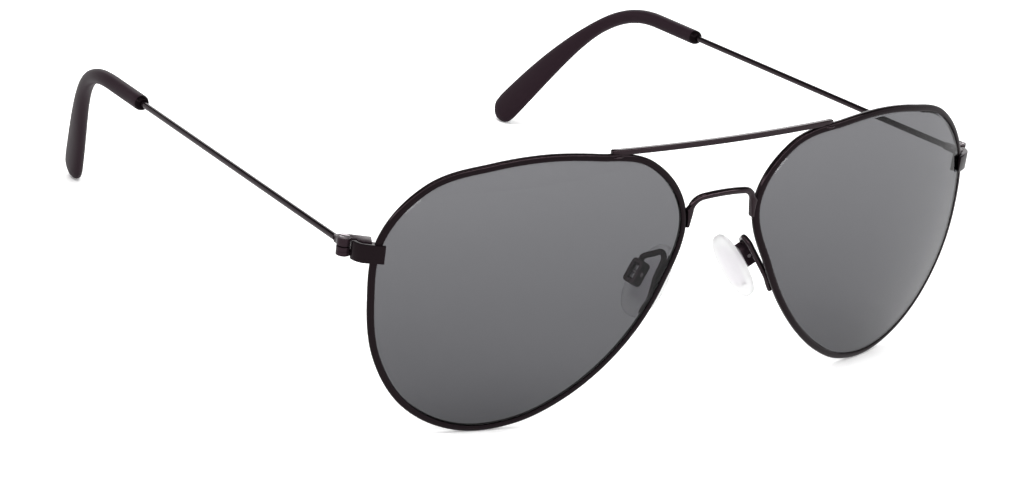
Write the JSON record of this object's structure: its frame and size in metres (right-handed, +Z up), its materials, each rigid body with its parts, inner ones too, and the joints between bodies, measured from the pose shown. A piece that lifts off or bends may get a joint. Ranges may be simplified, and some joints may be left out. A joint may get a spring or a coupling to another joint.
{
  "type": "aviator sunglasses",
  "caption": "Wire-rimmed aviator sunglasses with grey lenses, an arched bridge under a straight brow bar, rocking nose pads, and wire temples with moulded tips that fold on screw hinges.",
  "frame": {"origin": "middle of the footprint, on the flat surface that the lower edges of the rims and the temple tips stand on", "axes": "+X to the wearer's left, +Y back along the temples, -Y forward through the lenses, +Z up"},
  "size_m": [0.1284, 0.1358, 0.0473],
  "materials": {
    "frame_black": "gloss black lacquer on metal wire",
    "hinge_brown": "satin brown-black lacquer on small metal pieces",
    "screw_steel": "turned steel",
    "lens_grey": "neutral grey tint, polished on both faces",
    "tip_dark": "satin moulded plastic, dark brown-black",
    "pad_clear": "clear soft silicone, smooth",
    "insert_clear": "clear hard plastic core, faintly lavender"
  },
  "bodies": {
    "front": {"rim_right": "frame_black", "rim_left": "frame_black", "lens_right": "lens_grey", "lens_left": "lens_grey", "bridge": "frame_black", "brow_bar": "frame_black", "end_plate_right": "frame_black", "end_plate_left": "frame_black", "closing_block_upper_right": "frame_black", "closing_block_upper_left": "frame_black", "closing_block_lower_right": "frame_black", "closing_block_lower_left": "frame_black", "closing_screw_right": "screw_steel", "closing_screw_left": "screw_steel", "front_hinge_right": "hinge_brown", "front_hinge_left": "hinge_brown", "hinge_screw_right": "screw_steel", "hinge_screw_left": "screw_steel", "pad_arm_right": "frame_black", "pad_arm_left": "frame_black", "pad_box_right": "hinge_brown", "pad_box_left": "hinge_brown", "pad_screw_right": "screw_steel", "pad_screw_left": "screw_steel"},
    "temple_right": {"temple_hinge_right": "hinge_brown", "temple_wire_right": "frame_black", "temple_tip_right": "tip_dark"},
    "temple_left": {"temple_hinge_left": "hinge_brown", "temple_wire_left": "frame_black", "temple_tip_left": "tip_dark"},
    "pad_right": {"pad_insert_right": "insert_clear", "nose_pad_right": "pad_clear"},
    "pad_left": {"pad_insert_left": "insert_clear", "nose_pad_left": "pad_clear"}
  },
  "joints": [
    {"name": "temple_right_fold", "type": "hinge", "parent": "front", "child": "temple_right", "pos_m": [-0.06304, -0.05381, 0.03253], "axis": [0, 0.048, -0.9988], "range_deg": [0, 85]},
    {"name": "temple_left_fold", "type": "hinge", "parent": "front", "child": "temple_left", "pos_m": [0.06304, -0.05381, 0.03253], "axis": [0, -0.048, 0.9988], "range_deg": [0, 77]},
    {"name": "pad_right_rock", "type": "hinge", "parent": "front", "child": "pad_right", "pos_m": [-0.0114, -0.06073, 0.02316], "axis": [-0.1731, 0.9842, 0.0363], "range_deg": [-6, 6]},
    {"name": "pad_left_rock", "type": "hinge", "parent": "front", "child": "pad_left", "pos_m": [0.0114, -0.06073, 0.02316], "axis": [0.1731, 0.9842, 0.0363], "range_deg": [-6, 6]}
  ]
}
